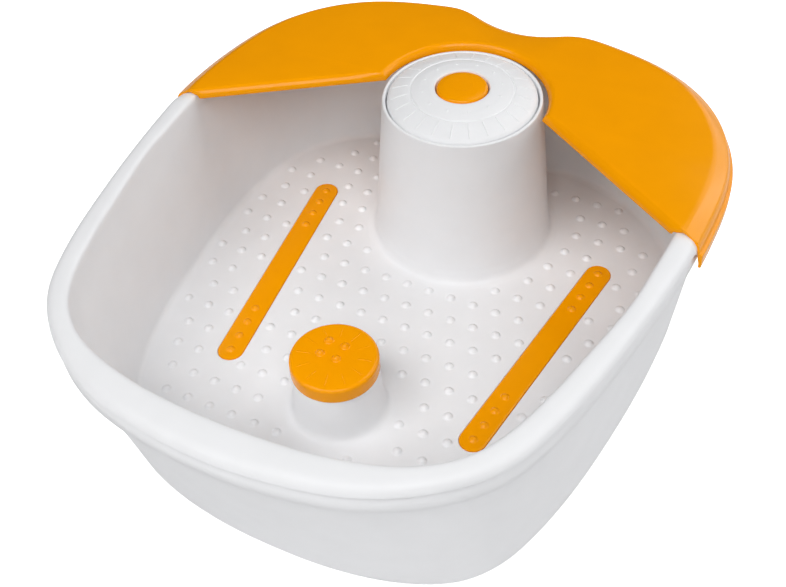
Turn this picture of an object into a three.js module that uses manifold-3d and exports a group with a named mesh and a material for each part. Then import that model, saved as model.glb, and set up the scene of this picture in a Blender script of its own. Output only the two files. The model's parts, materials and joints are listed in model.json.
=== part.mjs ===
// A pedicure foot bath: a white basin with a control tower, set in an outer casing, with an orange
// splash guard over the back of the rim. Millimetres, +Z up, front towards -Y. The origin is on the
// surface that the feet stand on, under the middle of the object.
import * as THREE from 'three';
import { mergeVertices } from 'three/addons/utils/BufferGeometryUtils.js';
import Module from 'manifold-3d';

const wasm = await Module();
wasm.setup();

// ---- Driving dimensions -------------------------------------------------------------------------

const STATIONS = 72; // points round each closed outline
const GAP = 0.3; // space left between pieces that touch

// Outlines in plan, each by its right half from the front to the back.
const RIM_OUTER = [
  [0, -200], [38, -197.2], [77.6, -188], [111, -169.4], [136.3, -143.4], [150, -109], [160.2, -62.6],
  [168, -12], [172.6, 30], [173.6, 62], [173, 88], [169.5, 114], [161.5, 138], [149.5, 158.5], [133, 176],
  [112, 190], [88, 199.4], [66, 204.8], [50, 208], [42, 206.2], [34, 201.5], [25, 198.2], [12, 195],
  [0, 194],
];
const RIM_INNER = [
  [0, -179], [30, -178], [50, -176], [70, -172], [90, -166], [108, -155.5], [121, -142], [130, -124],
  [138, -98], [141.5, -84], [146, -62], [151, -40], [155, -15], [156.3, 5], [158, 28], [159, 60],
  [158, 84], [155.5, 107], [149, 128], [139, 146], [124, 161.5], [105, 174.5], [84, 183], [64, 188.5],
  [46, 191.5], [30, 186.5], [14, 181.5], [0, 179.5],
];
const FLOOR = [
  [0, -163], [32, -162], [62, -157], [88, -148], [110, -132], [126, -108], [136, -82], [142.5, -55],
  [148.6, -16], [152, 15], [153.8, 35], [154.4, 60], [153.2, 84], [149.8, 104], [143.6, 123],
  [134, 140], [119.5, 155], [102, 167], [82, 175.5], [62, 181.5], [45, 184], [28, 179.5], [13, 175],
  [0, 173.5],
];
// The outer casing's outline where its wall meets the rounded bottom edge.
const BASE = [
  [0, -167], [35, -165.5], [67, -160], [92, -151.5], [113, -139], [129, -119], [138.5, -95],
  [143.5, -76], [147.5, -57], [150.5, -38], [153.5, -14], [157, 25], [158, 58], [157.6, 84],
  [154.6, 107], [148, 128], [138, 146], [124, 160.5], [106, 172.5], [86, 181.5], [65, 187.5],
  [45, 190.5], [28, 186], [13, 181], [0, 179.5],
];

const WALL = 2.2;
const FLOOR_TOP = 46;
const FLOOR_UNDER = 43;
const RIM_CREST = 153;
const BACK_SAG = 4; // how far the rim and the guard's outer edge drop towards the back
const SKIRT_FOOT = 133;

const CASING_UNDER = 3;
const CASING_FLOOR = 5.5;
const CASING_TOP = 142;
const BASE_ROUND_TOP = 30;
const CASING_INSET = 5; // how far the casing stands in from the rim's outer edge

const TOWER_Y = 104.5;
const TOWER_TOP_R = 51;
const TOWER_FOOT_R = 59.4;
const TOWER_TOP = 153.5;
const DECK_TOP = 146.8;
const DECK_UNDER = 144;
const DECK_HOLE_R = 20;

const BOSS_Y = -74.5;
const BOSS_TOP = 79.1;
const BUSH_SEAT_R = 8.3;

const DIAL_R = 48.05;
const BUTTON_R = 16.4;
const PAD_R = 26.5;
const PAD_FOOT = 79.6;

const STRIP_FRONT = new THREE.Vector2(84.2, -65.3);
const STRIP_BACK = new THREE.Vector2(103.7, 93.95);
const STRIP_R = 8.3;
const STRIP_LEDGE = 44.4;
const AIR_SLOT = 1.8; // half the width of the slot that lets air up under each strip

const GUARD_END_Y = 37;
const GUARD_OUTSET = 3.5;
const GUARD_TOWER_R = 54.3;

const FOOT_SPOTS = [['front_right', 84, -104], ['front_left', -84, -104], ['rear_right', 100, 124],
  ['rear_left', -100, 124]];
const SCREW_SPOTS = [[54, -122], [-54, -122], [113, -26], [-113, -26], [64, 138], [-64, 138]];
const CARRIER_SCREW_ANGLES = [30, 150, 270];
const CARRIER_SCREW_R = 38;

// ---- Materials ----------------------------------------------------------------------------------

const FINISHES = {
  white: { color: 0xeeeef0, roughness: 0.35, metalness: 0 },
  orange: { color: 0xf79c04, roughness: 0.38, metalness: 0 },
  rubber: { color: 0x3b3b3d, roughness: 0.85, metalness: 0 },
  black: { color: 0x222326, roughness: 0.5, metalness: 0 },
  ivory: { color: 0xd9d4c4, roughness: 0.5, metalness: 0 },
  silicone: { color: 0xdcdad2, roughness: 0.6, metalness: 0 },
  steel: { color: 0xb8babd, roughness: 0.35, metalness: 1 },
  zinc: { color: 0xa3a5a6, roughness: 0.45, metalness: 1 },
  brass: { color: 0xc9a75a, roughness: 0.35, metalness: 1 },
  aluminium: { color: 0xc4c6c8, roughness: 0.4, metalness: 1 },
  board: { color: 0x2c6b41, roughness: 0.55, metalness: 0 },
  lead: { color: 0x8a2f25, roughness: 0.5, metalness: 0 },
};

// The outlines are drawn from the basin's own datum, and the whole is set back to its middle.
const DATUM_Y = -5.3;
const bath = new THREE.Group();
bath.position.y = DATUM_Y;

function add(name, finish, geometry, x = 0, y = 0, z = 0) {
  const mesh = new THREE.Mesh(geometry, new THREE.MeshStandardMaterial(FINISHES[finish]));
  mesh.name = name;
  mesh.position.set(x, y, z);
  bath.add(mesh);
  return mesh;
}

// ---- Solids -------------------------------------------------------------------------------------

// The same body with shared vertices, and its faces turned outwards.
function closed(geometry) {
  const bare = geometry.clone();
  bare.deleteAttribute('normal');
  bare.deleteAttribute('uv');
  const body = mergeVertices(bare, 1e-4);
  const p = body.attributes.position;
  const index = Array.from(body.index.array);
  const corners = [new THREE.Vector3(), new THREE.Vector3(), new THREE.Vector3()];
  let volume = 0;
  for (let i = 0; i < index.length; i += 3) {
    corners.forEach((corner, k) => corner.fromBufferAttribute(p, index[i + k]));
    volume += corners[0].dot(corners[1].clone().cross(corners[2]));
  }
  if (volume < 0) index.reverse();
  body.setIndex(index);
  body.computeVertexNormals();
  return body;
}

function solid(geometry) {
  const body = closed(geometry);
  return new wasm.Manifold(new wasm.Mesh({
    numProp: 3,
    vertProperties: body.attributes.position.array,
    triVerts: new Uint32Array(body.index.array),
  }));
}

function geometryOf(manifold) {
  const { vertProperties, triVerts } = manifold.getMesh();
  const geometry = new THREE.BufferGeometry();
  geometry.setAttribute('position', new THREE.BufferAttribute(vertProperties, 3));
  geometry.setIndex(new THREE.BufferAttribute(triVerts, 1));
  geometry.computeVertexNormals();
  return geometry;
}

// Joins the first list of geometries and cuts the second list away.
function carve(joined, cuts = []) {
  let body = solid(joined[0]);
  joined.slice(1).forEach((piece) => { body = body.add(solid(piece)); });
  cuts.forEach((piece) => { body = body.subtract(solid(piece)); });
  return geometryOf(body);
}

// The space that two geometries share.
function common(first, second) {
  return geometryOf(solid(first).intersect(solid(second)));
}

// A body turned about Z from a profile of [radius, height] points.
function turned(profile, sides = 48) {
  const points = profile.map(([r, z]) => new THREE.Vector2(r, z));
  return closed(new THREE.LatheGeometry(points, sides).rotateX(Math.PI / 2));
}

function cylinder(radius, low, high, sides = 24, x = 0, y = 0) {
  const body = new THREE.CylinderGeometry(radius, radius, high - low, sides).rotateX(Math.PI / 2);
  return body.translate(x, y, (low + high) / 2);
}

// A tube about Z between two radii.
function sleeve(inner, outer, low, high, sides = 32) {
  return turned([[inner, low], [outer, low], [outer, high], [inner, high], [inner, low]], sides);
}

function block(width, depth, height, x, y, low) {
  return new THREE.BoxGeometry(width, depth, height).translate(x, y, low + height / 2);
}

function extruded(shape, low, high, curveSegments = 5) {
  const options = { depth: high - low, bevelEnabled: false, curveSegments };
  return closed(new THREE.ExtrudeGeometry(shape, options).translate(0, 0, low));
}

// A strip's outline: a straight bar with round ends.
function barShape(from, to, radius) {
  const along = Math.atan2(to.y - from.y, to.x - from.x);
  const shape = new THREE.Shape();
  shape.absarc(to.x, to.y, radius, along - Math.PI / 2, along + Math.PI / 2);
  shape.absarc(from.x, from.y, radius, along + Math.PI / 2, along + 1.5 * Math.PI);
  return shape;
}

function discShape(radius, holeRadius = 0) {
  const shape = new THREE.Shape().absarc(0, 0, radius, 0, 2 * Math.PI);
  if (holeRadius) shape.holes.push(new THREE.Path().absarc(0, 0, holeRadius, 0, 2 * Math.PI, true));
  return shape;
}

// A round section swept through a list of points.
function swept(points, radius, { hole = 0, sides = 8, steps = 18 } = {}) {
  const extrudePath = new THREE.CatmullRomCurve3(points.map((p) => new THREE.Vector3(...p)));
  const options = { extrudePath, steps, curveSegments: sides / 2, bevelEnabled: false };
  return closed(new THREE.ExtrudeGeometry(discShape(radius, hole), options));
}

// A closed skin over a run of rings with equal counts; flatten lays an end ring flat to cap it.
function skin(rings, flatten = (p) => new THREE.Vector2(p.x, p.y)) {
  const count = rings[0].length;
  const index = [];
  for (let i = 0; i + 1 < rings.length; i++) {
    for (let j = 0; j < count; j++) {
      const a = i * count + j;
      const b = i * count + ((j + 1) % count);
      index.push(a, b, b + count, a, b + count, a + count);
    }
  }
  const cap = (ring, start, sameWay) => {
    const contour = ring.map(flatten);
    THREE.ShapeUtils.triangulateShape(contour, []).forEach(([a, b, c]) => {
      const turn = THREE.ShapeUtils.area([contour[a], contour[b], contour[c]]);
      const follows = turn * THREE.ShapeUtils.area(contour) > 0;
      const face = follows === sameWay ? [a, b, c] : [a, c, b];
      index.push(...face.map((corner) => corner + start));
    });
  };
  cap(rings[0], 0, false);
  cap(rings.at(-1), (rings.length - 1) * count, true);
  const geometry = new THREE.BufferGeometry();
  geometry.setFromPoints(rings.flat());
  geometry.setIndex(index);
  return closed(geometry);
}

// ---- Outlines -----------------------------------------------------------------------------------

function curveOf(half) {
  const right = half.map(([x, y]) => new THREE.Vector3(x, y, 0));
  const left = right.slice(1, -1).reverse().map((p) => new THREE.Vector3(-p.x, p.y, 0));
  return new THREE.CatmullRomCurve3([...right, ...left], true, 'centripetal');
}

// Turn about Z from the front centre, counter-clockwise seen from above, from 0 to a full turn.
function bearing(p) {
  return (Math.atan2(p.x, -p.y) + 2 * Math.PI) % (2 * Math.PI);
}

const BEARINGS = curveOf(RIM_OUTER).getSpacedPoints(STATIONS).slice(0, STATIONS).map(bearing)
  .sort((a, b) => a - b);

// The outline's points at the given bearings.
function pointsAt(half, bearings) {
  const dense = curveOf(half).getPoints(720).slice(0, 720);
  dense.sort((a, b) => bearing(a) - bearing(b));
  return bearings.map((angle) => {
    let k = dense.findIndex((p) => bearing(p) > angle);
    if (k < 1) k = dense.length;
    const from = dense[k - 1];
    const to = dense[k % dense.length];
    const span = (bearing(to) - bearing(from) + 2 * Math.PI) % (2 * Math.PI);
    const t = span ? (angle - bearing(from)) / span : 0;
    return from.clone().lerp(to, t);
  });
}

// An outline sampled at the stations, with the inward direction at each.
function outline(half) {
  const points = pointsAt(half, BEARINGS);
  const inward = points.map((p, j) => {
    const along = points[(j + 1) % points.length].clone().sub(points.at(j - 1)).normalize();
    return new THREE.Vector3(-along.y, along.x, 0);
  });
  return { points, inward };
}

const rimOuter = outline(RIM_OUTER);
const rimInner = outline(RIM_INNER);
const floorEdge = outline(FLOOR);
const baseEdge = outline(BASE);

function ring({ points, inward }, inset, z) {
  return points.map((p, j) => p.clone().addScaledVector(inward[j], inset).setZ(z));
}

// A level ring between the rim's inner edge (0) and outer edge (1).
function levelRimRing(fraction, z, inset = 0) {
  return rimInner.points.map((p, j) => p.clone().lerp(rimOuter.points[j], fraction)
    .addScaledVector(rimOuter.inward[j], inset).setZ(z));
}

// The drop of the rim at a place along the side: none at the guard's end, and all of it at the back.
function sag(y) {
  return BACK_SAG * THREE.MathUtils.smoothstep(y, GUARD_END_Y, GUARD_END_Y + 80);
}

// The same ring, following the rim as it drops towards the back.
function rimRing(fraction, z, inset = 0) {
  return levelRimRing(fraction, z, inset).map((p) => p.setZ(z - sag(p.y)));
}

// ---- Tub: basin, rim, tower and boss in one moulding --------------------------------------------

const basinShell = skin([
  ring(floorEdge, 6.4, FLOOR_TOP),
  ring(floorEdge, 1.9, FLOOR_TOP + 1.9),
  ring(floorEdge, 0, FLOOR_TOP + 6.4),
  rimRing(0, 147.6),
  rimRing(0.06, 151.8),
  rimRing(0.3, RIM_CREST),
  rimRing(0.66, 151.7),
  rimRing(0.88, 148.3),
  rimRing(1, 143),
  levelRimRing(1, SKIRT_FOOT),
  levelRimRing(1, SKIRT_FOOT, WALL),
  rimRing(1, 141.4, WALL),
  rimRing(0.86, 146.4, 0.9),
  rimRing(0.64, 149.5),
  rimRing(0.34, 150.7),
  rimRing(0, 147, -WALL),
  ring(floorEdge, -WALL, FLOOR_TOP + 6.4),
  ring(floorEdge, 1.2, FLOOR_UNDER + 3.2),
  ring(floorEdge, 8, FLOOR_UNDER),
]);

const towerOuter = turned([[0, 44], [67, 44], [67, FLOOR_TOP], [63, 46.9], [60.6, 49.6],
  [TOWER_FOOT_R, 56], [TOWER_TOP_R, TOWER_TOP - 0.8], [50.4, TOWER_TOP], [49.2, TOWER_TOP],
  [48.9, DECK_TOP], [0, DECK_TOP]], 40).translate(0, TOWER_Y, 0);
// The tower's foot ends at the back wall, so it is kept to the floor's outline.
const overFloor = skin([ring(floorEdge, -0.6, 43.5), ring(floorEdge, -0.6, 160)]);
const towerHollow = turned([[0, 42], [TOWER_FOOT_R - WALL, 42], [TOWER_FOOT_R - WALL, 56],
  [TOWER_TOP_R - WALL, DECK_UNDER], [0, DECK_UNDER]], 28).translate(0, TOWER_Y, 0);
const deckHole = cylinder(DECK_HOLE_R, 140, 150, 28, 0, TOWER_Y);

const bossOuter = turned([[0, 44], [34, 44], [34, FLOOR_TOP], [30.4, 46.9], [28.4, 50],
  [25.4, BOSS_TOP - 0.7], [24.6, BOSS_TOP], [0, BOSS_TOP]], 28).translate(0, BOSS_Y, 0);
const bossHollow = turned([[0, 42], [26.2, 42], [26, 50], [23, 76.3], [0, 76.3]], 20)
  .translate(0, BOSS_Y, 0);
const bushSeat = cylinder(BUSH_SEAT_R, 70, 82, 20, 0, BOSS_Y);

// Posts under the floor take the casing screws, and posts under the deck the carrier screws.
const POST_FOOT = 9;
const PILOT_R = 1.8;
const floorPosts = SCREW_SPOTS.map(([x, y]) => cylinder(5, POST_FOOT, 44.5, 8, x, y));
const floorPilots = SCREW_SPOTS.map(([x, y]) => cylinder(PILOT_R, 8, 28, 6, x, y));
const carrierSpots = CARRIER_SCREW_ANGLES.map((degrees) => {
  const angle = THREE.MathUtils.degToRad(degrees);
  return [CARRIER_SCREW_R * Math.cos(angle), TOWER_Y + CARRIER_SCREW_R * Math.sin(angle)];
});
const deckPosts = carrierSpots.map(([x, y]) => cylinder(4, 130.3, 145, 8, x, y));
const deckPilots = carrierSpots.map(([x, y]) => cylinder(PILOT_R, 129, 142, 6, x, y));

function mirroredBar(side, radius, low, high) {
  const from = new THREE.Vector2(side * STRIP_FRONT.x, STRIP_FRONT.y);
  const to = new THREE.Vector2(side * STRIP_BACK.x, STRIP_BACK.y);
  return extruded(barShape(from, to, radius), low, high);
}
const stripSeats = [1, -1].map((side) => mirroredBar(side, STRIP_R + GAP, STRIP_LEDGE, 50));
const airSlots = [1, -1].map((side) => mirroredBar(side, AIR_SLOT, 40, 50));

add('tub_basin', 'white', carve(
  [basinShell, common(towerOuter, overFloor), bossOuter, ...floorPosts],
  [towerHollow, deckHole, bossHollow, bushSeat, ...floorPilots, ...stripSeats, ...airSlots],
));

// The deck posts stand inside the tower's hollow, so they are joined after it is cut.
const tub = bath.getObjectByName('tub_basin');
tub.geometry = carve([tub.geometry, ...deckPosts], deckPilots);

// ---- Outer casing -------------------------------------------------------------------------------

const casingOutside = [
  ring(rimOuter, CASING_INSET, CASING_TOP - BACK_SAG),
  ring(rimOuter, CASING_INSET, SKIRT_FOOT),
  ring(baseEdge, 0, BASE_ROUND_TOP),
  ring(baseEdge, 2.4, 20),
  ring(baseEdge, 7.4, 10.4),
  ring(baseEdge, 15.5, 4.9),
  ring(baseEdge, 26, CASING_UNDER),
];
const casingShell = skin([
  ring(baseEdge, 27, CASING_FLOOR),
  ring(baseEdge, 15, 8),
  ring(baseEdge, 7, 13.8),
  ring(baseEdge, WALL, BASE_ROUND_TOP),
  ring(rimOuter, CASING_INSET + WALL, SKIRT_FOOT),
  ring(rimOuter, CASING_INSET + WALL, CASING_TOP - BACK_SAG),
  ...casingOutside,
]);
const SCREW_HEAD_R = 4.2;
const HEAD_SEAT = 6.2;
const screwTurrets = SCREW_SPOTS.map(([x, y]) => cylinder(7, 5, POST_FOOT - GAP, 10, x, y));
const screwWells = SCREW_SPOTS.flatMap(([x, y]) => [
  cylinder(SCREW_HEAD_R + 0.8, 0, HEAD_SEAT, 12, x, y),
  cylinder(2.1, 0, 12, 6, x, y),
]);
const FOOT_R = 10;
const footWells = FOOT_SPOTS.flatMap(([, x, y]) => [
  cylinder(FOOT_R + 0.5, 0, CASING_UNDER + 1, 16, x, y),
  cylinder(3.5, 0, 12, 8, x, y),
]);
const VENT_COUNT = 9;
const vents = Array.from({ length: VENT_COUNT }, (_, i) => {
  const x = (i - (VENT_COUNT - 1) / 2) * 7;
  return block(3, 44 - Math.abs(x) * 0.7, 10, x, TOWER_Y, 0);
});
// The power lead comes in low at the back, through a thickened flat in the middle of the notch.
const INLET_Z = 29;
const INLET_SEAT_Y = 177.6;
const INLET_PAD = 4.6;
const inletPad = common(block(24, 10, 22, 0, INLET_SEAT_Y - INLET_PAD + 5, INLET_Z - 11),
  skin(casingOutside));
const inletSeat = block(19, 20, 19, 0, INLET_SEAT_Y + 10, INLET_Z - 9.5);
const inletHole = cylinder(6.3, -20, 20, 16).rotateX(Math.PI / 2).translate(0, INLET_SEAT_Y, INLET_Z);

add('outer_casing', 'white', carve([casingShell, inletPad, ...screwTurrets],
  [...screwWells, ...footWells, ...vents, inletSeat, inletHole]));

FOOT_SPOTS.forEach(([place, x, y]) => {
  add(`foot_${place}`, 'rubber', turned([[0, 0], [FOOT_R - 1, 0], [FOOT_R, 1], [FOOT_R, CASING_UNDER + 0.7],
    [3.1, CASING_UNDER + 0.7], [3.1, 8], [0, 8]], 16), x, y);
});

// A self-tapping screw, point up, with a cross in its head.
function screw(headRadius, headLow, headHigh, shankRadius, tip) {
  const body = turned([[0, headLow], [headRadius - 0.6, headLow], [headRadius, headLow + 0.6],
    [headRadius, headHigh], [shankRadius, headHigh], [shankRadius, tip - 2], [0, tip]], 8);
  const cross = [[headRadius, 0.9], [0.9, headRadius]]
    .map(([width, depth]) => block(width, depth, 1.2, 0, 0, headLow - 0.1));
  return carve([body], cross);
}

SCREW_SPOTS.forEach(([x, y], i) => {
  add(`casing_screw_${i + 1}`, 'zinc', screw(SCREW_HEAD_R, 3.6, HEAD_SEAT - GAP, 1.5, 26), x, y);
});

add('cord_inlet_bush', 'black', turned([[3.2, -6.6], [7.6, -6.6], [7.6, -4.9], [6, -4.9], [6, 0.3],
  [8.8, 0.3], [8.8, 1.8], [6, 9], [4.4, 9], [3.2, -6.6]], 16).rotateX(-Math.PI / 2),
0, INLET_SEAT_Y, INLET_Z);

// ---- Air strips in the floor, with their channels -----------------------------------------------

const CHANNEL_UNDER = 31;
const NIPPLE = { x: 92, y: 38, rise: 5.6, length: 14 };
const HOSE_START_X = NIPPLE.x - NIPPLE.length - 0.6;
[['right', 1], ['left', -1]].forEach(([place, side]) => {
  const plate = mirroredBar(side, STRIP_R, STRIP_LEDGE + GAP, FLOOR_TOP + 0.6);
  const tongue = mirroredBar(side, AIR_SLOT - GAP, 40.4, FLOOR_TOP);
  add(`air_strip_${place}`, 'orange', carve([plate, tongue]));

  const tray = mirroredBar(side, 9.5, CHANNEL_UNDER, FLOOR_UNDER - GAP);
  const trough = mirroredBar(side, 7.6, CHANNEL_UNDER + 2, 50);
  const nipple = cylinder(3.4, -NIPPLE.length, 0, 12).rotateY(Math.PI / 2 * side);
  const bore = cylinder(2, -NIPPLE.length - 2, 6, 10).rotateY(Math.PI / 2 * side);
  const spot = [side * NIPPLE.x, NIPPLE.y, CHANNEL_UNDER + NIPPLE.rise];
  add(`air_channel_${place}`, 'ivory',
    carve([tray, nipple.clone().translate(...spot)], [trough, bore.clone().translate(...spot)]));

  add(`air_hose_${place}`, 'silicone', swept([[side * HOSE_START_X, NIPPLE.y, CHANNEL_UNDER + NIPPLE.rise],
    [side * 66, 39, 35.5], [side * 57, 52, 31], [side * 56, 74, 24], [side * 59, 90, 20],
    [side * 57, 102, 20]], 3.2, { hole: 2.1, sides: 6, steps: 14 }));
});

// ---- Blower and vibration motor under the tower -------------------------------------------------

const HOUSING_R = 45;
const cup = turned([[0, 10], [HOUSING_R, 10], [HOUSING_R, 32], [HOUSING_R - 2, 32], [HOUSING_R - 2, 12],
  [0, 12]], 24);
const inlet = cylinder(15, 8, 14, 16);
const OUTLET_Z = 20;
const outlets = [1, -1].map((side) => ({
  tube: cylinder(4.4, 0, 12, 12).rotateY(side * Math.PI / 2).translate(side * 40, 0, OUTLET_Z),
  bore: cylinder(2.6, -4, 16, 10).rotateY(side * Math.PI / 2).translate(side * 40, 0, OUTLET_Z),
}));
add('blower_housing', 'black', carve([cup, ...outlets.map((o) => o.tube)],
  [inlet, ...outlets.map((o) => o.bore)]), 0, TOWER_Y, 0);
add('blower_cover', 'black', turned([[6, 32.3], [HOUSING_R, 32.3], [HOUSING_R, 34.4], [22.5, 34.4],
  [22.5, 38], [20.6, 38], [20.6, 34.8], [6, 34.8], [6, 32.3]], 24), 0, TOWER_Y, 0);

const SHAFT_R = 1.6;
const backPlate = turned([[SHAFT_R + GAP, 14], [6, 14], [6, 26], [38, 26], [38, 28], [SHAFT_R + GAP, 28],
  [SHAFT_R + GAP, 14]], 24);
const BLADES = 12;
const blades = Array.from({ length: BLADES }, (_, i) => {
  const angle = (i / BLADES) * 2 * Math.PI;
  return block(25, 1.6, 12.5, 24.5, 0, 14).rotateZ(angle);
});
add('impeller', 'ivory', carve([backPlate, ...blades]), 0, TOWER_Y, 0);
add('motor_shaft', 'steel', turned([[0, 13], [SHAFT_R, 13.6], [SHAFT_R, 97], [0, 97.6]], 12), 0, TOWER_Y, 0);
add('armature', 'zinc', sleeve(SHAFT_R + GAP, 13, 46, 68, 20), 0, TOWER_Y, 0);
add('motor_can', 'steel', turned([[4, 78], [8, 78], [8, 75], [20, 75], [20, 35.2], [18.4, 35.2],
  [18.4, 73.4], [4, 73.4], [4, 78]], 24), 0, TOWER_Y, 0);
add('motor_end_cap', 'black', sleeve(4, 18, 36.4, 40, 20), 0, TOWER_Y, 0);
const weightShape = new THREE.Shape().absarc(0, 0, 15, -Math.PI / 2, Math.PI / 2);
weightShape.absarc(0, 0, 5, Math.PI / 2, 1.5 * Math.PI);
weightShape.holes.push(new THREE.Path().absarc(0, 0, SHAFT_R + GAP, 0, 2 * Math.PI, true));
add('eccentric_weight', 'brass', extruded(weightShape, 82, 94, 6), 0, TOWER_Y, 0);
[90, 210, 330].forEach((degrees, i) => {
  const angle = THREE.MathUtils.degToRad(degrees);
  add(`motor_damper_${i + 1}`, 'rubber', turned([[0, CASING_FLOOR + GAP], [6, CASING_FLOOR + GAP],
    [4.6, 7.7], [6, 9.7], [0, 9.7]], 10),
  36 * Math.cos(angle), TOWER_Y + 36 * Math.sin(angle), 0);
});

// ---- Warming plate under the floor --------------------------------------------------------------

add('heater_plate', 'aluminium', block(120, 74, 1.6, 0, -4, FLOOR_UNDER - GAP - 1.6));
add('thermostat', 'black', turned([[0, 33], [8, 33], [8, 37.6], [10, 37.6], [10, 40.8], [0, 40.8]], 16),
  -22, -6, 0);
add('thermal_fuse', 'ivory', cylinder(2.6, -9, 9, 12).rotateX(Math.PI / 2), 22, -6, 38.1);
const TERMINAL = { x: -58, y: -70, low: CASING_FLOOR + GAP };
const terminalHoles = [-9, 0, 9].map((x) => cylinder(2, 8, 30, 10, TERMINAL.x + x, TERMINAL.y));
add('terminal_block', 'ivory', carve([block(30, 14, 12, TERMINAL.x, TERMINAL.y, TERMINAL.low)],
  terminalHoles));

// ---- Massage head on the boss -------------------------------------------------------------------

const BUSH_R = 8;
const SPINDLE_R = 4.6;
add('spindle_bush', 'ivory', turned([[5, 64], [BUSH_R, 64], [BUSH_R, 73], [11, 73], [11, 76], [BUSH_R, 76],
  [BUSH_R, 77], [5, 77], [5, 64]], 16), 0, BOSS_Y, 0);
add('spindle_seal', 'rubber', sleeve(5, BUSH_R, 77.3, 78.9, 16), 0, BOSS_Y, 0);
const spindleBody = turned([[0, 59.5], [SPINDLE_R - 0.8, 59.5], [SPINDLE_R, 60.3], [SPINDLE_R, 61.2],
  [3.4, 61.2], [3.4, 63], [SPINDLE_R, 63], [SPINDLE_R, 79.4], [9.4, 79.4], [9.4, 81], [0, 81]], 18);
const drive = cylinder(5.5, 80, 86.6, 6);
add('pad_spindle', 'ivory', carve([spindleBody, drive]), 0, BOSS_Y, 0);
add('spindle_clip', 'steel', sleeve(3.7, 7.4, 61.5, 62.7, 16), 0, BOSS_Y, 0);

const padBody = turned([[0, PAD_FOOT + 2], [9, PAD_FOOT + 2], [9, 87.4], [24.2, 87.4], [24.2, PAD_FOOT],
  [26, PAD_FOOT], [PAD_R, PAD_FOOT + 0.6], [PAD_R, 88.4], [25.6, 89.8], [24, 90.2], [0, 90.2]], 36);
const socket = cylinder(5.9, 79, 87, 6);
const PAD_NUB_SPACING = 5.3;
const PAD_NUB_MIDDLE = [-2.9, 3.8];
const padNubs = [[1, 1], [1, -1], [-1, 1], [-1, -1]].map(([x, y]) => turned([[0, 89], [2.6, 89], [2.5, 91],
  [1.6, 92.3], [0, 92.8]], 8).translate(PAD_NUB_MIDDLE[0] + x * PAD_NUB_SPACING,
  PAD_NUB_MIDDLE[1] + y * PAD_NUB_SPACING, 0));
add('massage_pad', 'orange', carve([padBody, ...padNubs], [socket]), 0, BOSS_Y, 0);

// ---- Dial, button and switches on the tower -----------------------------------------------------

const HUB_R = 19.4;
const HUB_BORE = 17.2;
add('selector_dial', 'white', turned([[HUB_BORE, 139], [HUB_R, 139], [HUB_R, 158.1], [33, 155.6],
  [44.6, 152], [46.2, 149.4], [46.2, 148.6], [DIAL_R - 0.3, 148.6], [DIAL_R, 149], [DIAL_R, 152.6],
  [47.3, 153.9], [44, 155.4], [33.6, 158], [32.8, 159], [HUB_BORE + 0.8, 161], [HUB_BORE, 160.6],
  [HUB_BORE, 139]], 32), 0, TOWER_Y, 0);
add('dial_seal', 'rubber', sleeve(44.2, 46.4, DECK_TOP + GAP, 148.3, 24), 0, TOWER_Y, 0);
const LOBES = 4;
const lobes = Array.from({ length: LOBES }, (_, i) => {
  const angle = ((i + 0.5) / LOBES) * 2 * Math.PI;
  return cylinder(2.2, 139.2, 142.8, 8, 24 * Math.cos(angle), 24 * Math.sin(angle));
});
const collarRing = sleeve(HUB_R + GAP + 0.1, 24.4, 139.2, 142.8, 24);
add('dial_collar', 'ivory', carve([collarRing, ...lobes]), 0, TOWER_Y, 0);

const GUIDE_R = 14.4;
const GUIDE_BORE = 12.6;
const carrierPlate = turned([[3.8, 127.6], [42, 127.6], [42, 130], [GUIDE_R, 130], [GUIDE_R, 153],
  [GUIDE_BORE, 153], [GUIDE_BORE, 142], [7, 142], [7, 140], [GUIDE_BORE, 140], [GUIDE_BORE, 130],
  [3.8, 130], [3.8, 127.6]], 24);
const BOARD = { width: 58, depth: 40, low: 117, high: 118.6 };
const standoffSpots = [[24, 15], [-24, 15], [24, -15], [-24, -15]];
const standoffs = standoffSpots.map(([x, y]) => cylinder(3, BOARD.high + GAP, 128, 8, x, y));
const carrierHoles = carrierSpots.map(([x, y]) => cylinder(PILOT_R + 0.2, 126, 131, 8, x, y - TOWER_Y));
add('switch_carrier', 'ivory', carve([carrierPlate, ...standoffs], carrierHoles), 0, TOWER_Y, 0);
carrierSpots.forEach(([x, y], i) => {
  add(`carrier_screw_${i + 1}`, 'zinc', screw(3.4, 125, 127.3, 1.5, 140), x, y);
});
add('control_board', 'board', block(BOARD.width, BOARD.depth, BOARD.high - BOARD.low, 0, 0, BOARD.low),
  0, TOWER_Y, 0);
const SWITCH_LOW = BOARD.high + GAP;
add('push_switch', 'black', carve([block(13, 13, 7, 0, 0, SWITCH_LOW)],
  [cylinder(3, SWITCH_LOW + 1.6, 132, 12)]), 0, TOWER_Y, 0);
add('switch_plunger', 'ivory', cylinder(2.5, SWITCH_LOW + 4.6, 135.6, 12), 0, TOWER_Y, 0);
[['bubble', 1], ['heat', -1]].forEach(([use, side]) => {
  add(`${use}_microswitch`, 'black', block(10, 18, 9, side * 32.6, 0, 130.3), 0, TOWER_Y, 0);
});

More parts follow.
